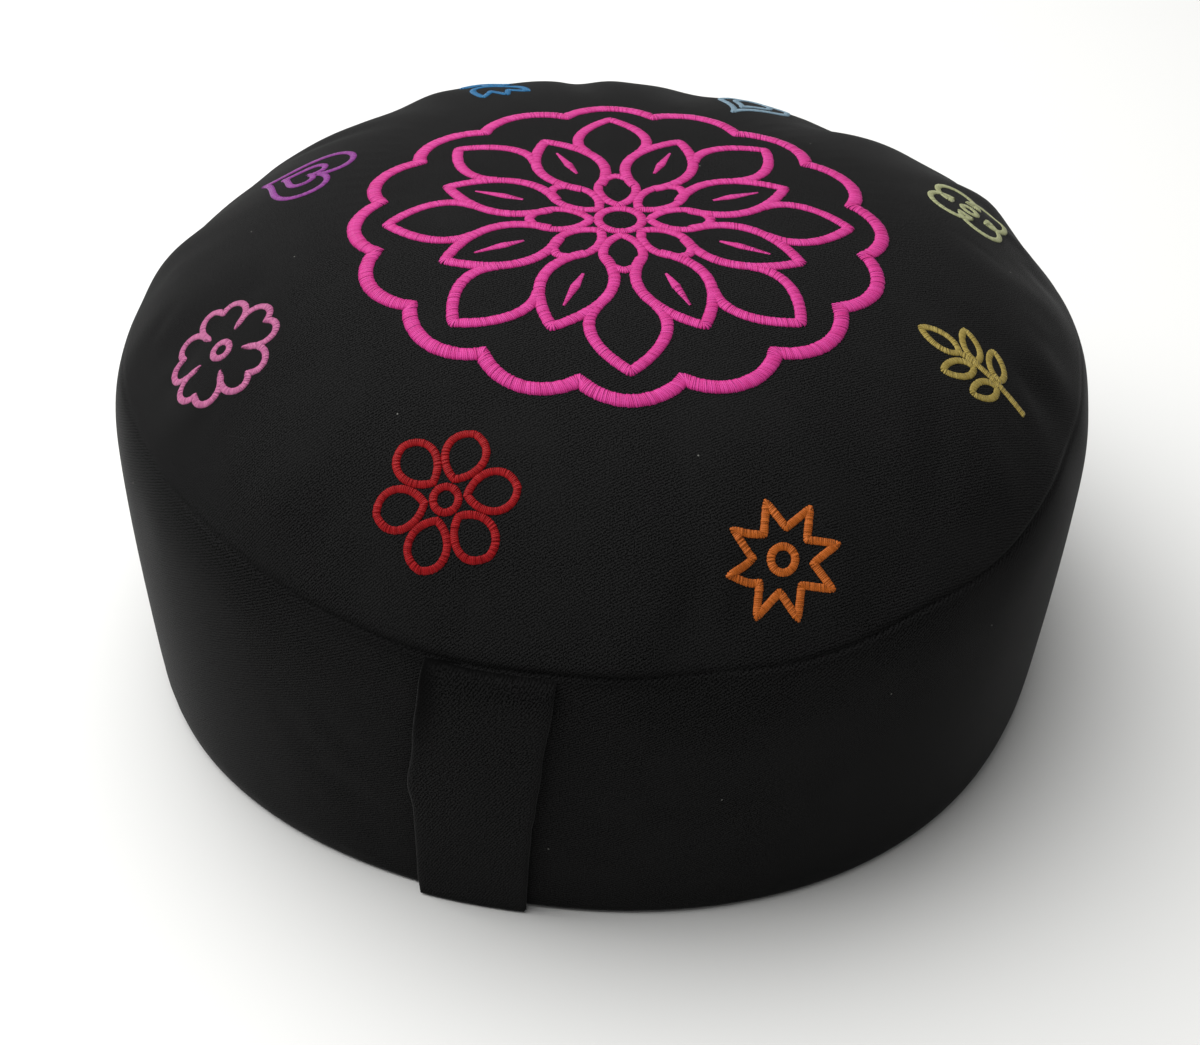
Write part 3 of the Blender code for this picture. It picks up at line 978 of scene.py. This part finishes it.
def blossomLines(size, width):
    outline = []
    for i in range(5):
        lobe = curvePoints([(0.20, -0.145), (0.42, -0.36), (0.62, -0.10), (0.45, 0)], size)
        lobe += [(x, -y) for x, y in reversed(lobe[:-1])]
        outline += turned(lobe, i * 72 + 90)[:-1]
    return [(outline, width, True), ringLine(0, 0, size * 0.085, width)]


print("patterns ready")

# Small motifs round the rosette: name, angle and ring round its middle, size in mm, pattern, and the
# thread's dark, light and gleaming colours. The larger and smaller ones take turns, near and far.
smallLine = 2.4
ringRadii = {"near": 0.128, "far": 0.139}
motifTable = (
    ("red_daisy", -112.5, "near", 46, daisyLines, "#660c10", "#a01c20", "#c85050"),
    ("orange_star", -67.5, "far", 37, starLines, "#8a3f08", "#c2682c", "#e8b890"),
    ("olive_sprig", -22.5, "near", 44, sprigLines, "#766326", "#a89652", "#d8d0a0"),
    ("pale_green_quatrefoil", 22.5, "far", 36, quatrefoilLines, "#83855c", "#a9ad84", "#e8e8d0"),
    ("pale_blue_drop", 67.5, "near", 44, dropLines, "#566c7e", "#829fae", "#d8e8f0"),
    ("blue_tulip", 112.5, "far", 38, tulipLines, "#0e4470", "#2474a4", "#90c8e8"),
    ("violet_heart", 157.5, "near", 40, heartLines, "#642468", "#984498", "#d0a0e0"),
    ("pink_blossom", 202.5, "far", 40, blossomLines, "#964872", "#c4709a", "#e8b8d0"),
)

stitching = {
    "pitch": 0.00058,          # satin stitches drawn a little wider apart than the real 0.4 mm, to show
    "threadWidth": 0.00100,
    "rise": 0.17,              # height of a line as a share of its width
    "slantDegrees": 12.0,
    "segments": 7,
    "archDegrees": (-14, 208),    # where a stitch's arch starts and how far it turns
    "threadRadius": 0.055,     # of the one stitch that all are scaled from, which is 1 wide
    "wobble": (-0.05, 0.05),   # of a stitch's direction
    "widths": (0.95, 1.06),    # least and most, as shares of the line's
    "tones": (0.3, 0.7),       # from dark to light
    "padSink": 0.52,           # how deep the padding cord's middle lies, as a share of the line's width
    "padRadius": 0.68,
    "padStep": 0.0014,
    "padSides": 8,
}


def makeStitchTree(plan):  # satin stitches across every line, on a low padding cord of the same thread
    tree = bpy.data.node_groups.new("satin stitch", "GeometryNodeTree")
    face = tree.interface
    face.new_socket("Geometry", in_out="INPUT", socket_type="NodeSocketGeometry")
    for name, value in (("Pitch", plan["pitch"]), ("Thread Width", plan["threadWidth"]),
                        ("Rise", plan["rise"]), ("Slant", math.radians(plan["slantDegrees"]))):
        face.new_socket(name, in_out="INPUT", socket_type="NodeSocketFloat").default_value = value
    face.new_socket("Seed", in_out="INPUT", socket_type="NodeSocketInt").default_value = 1
    face.new_socket("Thread", in_out="INPUT", socket_type="NodeSocketMaterial")
    face.new_socket("Geometry", in_out="OUTPUT", socket_type="NodeSocketGeometry")
    given = addNode(tree, "NodeGroupInput").outputs

    # one stitch: a thread arched over a line 1 wide, lying across it
    startAngle, sweepAngle = [math.radians(angle) for angle in plan["archDegrees"]]
    arch = addNode(tree, "GeometryNodeCurveArc", {"mode": "RADIUS"}, {
        "Resolution": plan["segments"], "Radius": 0.5, "Start Angle": startAngle, "Sweep Angle": sweepAngle})
    section = addNode(tree, "GeometryNodeCurvePrimitiveCircle", {"mode": "RADIUS"}, {
        "Resolution": 4, "Radius": plan["threadRadius"]})
    thread = addNode(tree, "GeometryNodeCurveToMesh", inputs={"Curve": arch, "Profile Curve": section})
    spread = addNode(tree, "ShaderNodeMath", {"operation": "DIVIDE"}, {
        0: given["Thread Width"], 1: plan["threadRadius"] * 2})
    spreadScale = addNode(tree, "ShaderNodeCombineXYZ", inputs={"X": 1.0, "Y": spread, "Z": 1.0})
    stood = addNode(tree, "GeometryNodeTransform", inputs={
        "Geometry": thread, "Rotation": (math.pi / 2, 0, 0)})
    widened = addNode(tree, "GeometryNodeTransform", inputs={"Geometry": stood, "Scale": spreadScale})

    # its places along the lines
    lines = addNode(tree, "GeometryNodeMeshToCurve", inputs={"Mesh": given["Geometry"]})
    spots = addNode(tree, "GeometryNodeCurveToPoints", {"mode": "LENGTH"}, {
        "Curve": lines, "Length": given["Pitch"]})
    width = addNode(tree, "GeometryNodeInputNamedAttribute", {"data_type": "FLOAT"}, {"Name": "lineWidth"})
    up = addNode(tree, "GeometryNodeInputNamedAttribute", {"data_type": "FLOAT_VECTOR"}, {"Name": "up"})
    facing = addNode(tree, "FunctionNodeAxesToRotation", {"primary_axis": "Z", "secondary_axis": "Y"}, {
        "Primary Axis": up, "Secondary Axis": spots.outputs["Tangent"]})
    draws = []
    for key, shift in (("wobble", 0.0), ("widths", 7.0), ("tones", 19.0)):    # each with a seed of its own
        seed = addNode(tree, "ShaderNodeMath", {"operation": "ADD"}, {0: given["Seed"], 1: shift})
        draw = addNode(tree, "FunctionNodeRandomValue", {"data_type": "FLOAT"}, {
            2: plan[key][0], 3: plan[key][1], "Seed": seed})
        draws.append(draw.outputs[1])
    wobble, uneven, tone = draws
    lean = addNode(tree, "ShaderNodeMath", {"operation": "ADD"}, {0: wobble, 1: given["Slant"]})
    leanTurn = addNode(tree, "FunctionNodeAxisAngleToRotation", inputs={"Axis": (0, 0, 1), "Angle": lean})
    turn = addNode(tree, "FunctionNodeRotateRotation", {"rotation_space": "LOCAL"}, {
        "Rotation": facing, "Rotate By": leanTurn})
    wide = addNode(tree, "ShaderNodeMath", {"operation": "MULTIPLY"}, {0: width, 1: uneven})
    double = addNode(tree, "ShaderNodeMath", {"operation": "MULTIPLY"}, {0: given["Rise"], 1: 2.0})
    high = addNode(tree, "ShaderNodeMath", {"operation": "MULTIPLY"}, {0: wide, 1: double})
    size = addNode(tree, "ShaderNodeCombineXYZ", inputs={"X": wide, "Y": 1.0, "Z": high})
    sewn = addNode(tree, "GeometryNodeInstanceOnPoints", inputs={
        "Points": spots, "Instance": widened, "Rotation": turn, "Scale": size})
    toned = addNode(tree, "GeometryNodeStoreNamedAttribute", {"data_type": "FLOAT", "domain": "INSTANCE"}, {
        "Geometry": sewn, "Name": "threadTone", "Value": tone})
    realized = addNode(tree, "GeometryNodeRealizeInstances", inputs={"Geometry": toned})

    # the padding: a cord sunk into the cloth, so that only its low back stands under the stitches
    even = addNode(tree, "GeometryNodeResampleCurve", {"mode": "LENGTH"}, {
        "Curve": lines, "Length": plan["padStep"]})
    sink = addNode(tree, "ShaderNodeMath", {"operation": "MULTIPLY"}, {0: width, 1: -plan["padSink"]})
    down = addNode(tree, "ShaderNodeVectorMath", {"operation": "SCALE"}, {0: up, "Scale": sink})
    sunk = addNode(tree, "GeometryNodeSetPosition", inputs={"Geometry": even, "Offset": down})
    half = addNode(tree, "ShaderNodeMath", {"operation": "MULTIPLY"}, {0: width, 1: plan["padRadius"]})
    cord = addNode(tree, "GeometryNodeCurvePrimitiveCircle", {"mode": "RADIUS"}, {
        "Resolution": plan["padSides"], "Radius": 1.0})
    padding = addNode(tree, "GeometryNodeCurveToMesh", inputs={
        "Curve": sunk, "Profile Curve": cord, "Scale": half, "Fill Caps": True})
    joined = addNode(tree, "GeometryNodeJoinGeometry")
    tree.links.new(padding.outputs["Mesh"], joined.inputs["Geometry"])
    tree.links.new(realized.outputs["Geometry"], joined.inputs["Geometry"])
    smooth = addNode(tree, "GeometryNodeSetShadeSmooth", inputs={"Geometry": joined})
    dressed = addNode(tree, "GeometryNodeSetMaterial", inputs={
        "Geometry": smooth, "Material": given["Thread"]})
    addNode(tree, "NodeGroupOutput", inputs={"Geometry": dressed})
    return tree


def setInputs(step, values):  # a modifier's inputs, by socket identifier
    items = step.node_group.interface.items_tree
    sockets = {item.name: item.identifier for item in items if item.in_out == "INPUT"}
    for name, value in values.items():
        step[sockets[name]] = value


stitchTree = makeStitchTree(stitching)


def sewLines(name, lines, middle, turnDegrees, material, seed):
    flatAngle = math.atan2(middle[1], middle[0])
    along = clothDistance(math.hypot(*middle), flatAngle)
    cx, cy = along * math.cos(flatAngle), along * math.sin(flatAngle)
    points, edges, ups, widths = [], [], [], []
    for path, width, closed in lines:
        start = len(points)
        placed = turned([(x / 1000, y / 1000) for x, y in path], turnDegrees, cx, cy)
        for k, (x, y) in enumerate(placed):
            place, normal = onCover(x, y)
            share = k / (len(placed) - 1)
            wide = np.interp(share, (0, 0.4, 1), width) if isinstance(width, tuple) else width
            points.append(place)
            ups.append(normal)
            widths.append(wide / 1000)
        edges += [(i, i + 1) for i in range(start, len(points) - 1)]
        if closed:
            edges.append((len(points) - 1, start))
    mesh = bpy.data.meshes.new(name)
    mesh.from_pydata(points, edges, [])
    storeAttribute(mesh, "up", "FLOAT_VECTOR", np.array(ups))
    storeAttribute(mesh, "lineWidth", "FLOAT", widths)
    piece = newPiece(name, mesh, material)
    sewing = piece.modifiers.new("satin stitch", "NODES")
    sewing.node_group = stitchTree
    setInputs(sewing, {"Seed": seed, "Thread": material})
    asPlainMesh(piece)
    return piece


rosetteThread = makeThread("magenta satin stitch thread", "#ae1c62", "#d8489a", "#c894f8")
inside, rim = rosetteLines(rosette)
embroidery = [
    sewLines("rosette_petals", inside, rosette["middle"], rosette["turnDegrees"], rosetteThread, 1),
    sewLines("rosette_rim", rim, rosette["middle"], rosette["turnDegrees"], rosetteThread, 2),
]
for number, (name, degrees, ring, size, draw, *colours) in enumerate(motifTable):
    turn = math.radians(degrees)
    x = rosette["middle"][0] + ringRadii[ring] * math.cos(turn)
    y = rosette["middle"][1] + ringRadii[ring] * math.sin(turn)
    thread = makeThread(name.replace("_", " ") + " satin stitch thread", *colours)
    embroidery.append(sewLines(
        name + "_stitches", draw(size, smallLine), (x, y), degrees + 90, thread, 10 + number))
for piece in embroidery:
    print(piece.name, sum(len(f.vertices) - 2 for f in piece.data.polygons), "triangles")


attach(coverPiece, "root")
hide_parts("cushion_body")
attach(strapPiece, "root")
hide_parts("handle_strap")
for piece in embroidery:
    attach(piece, "root")
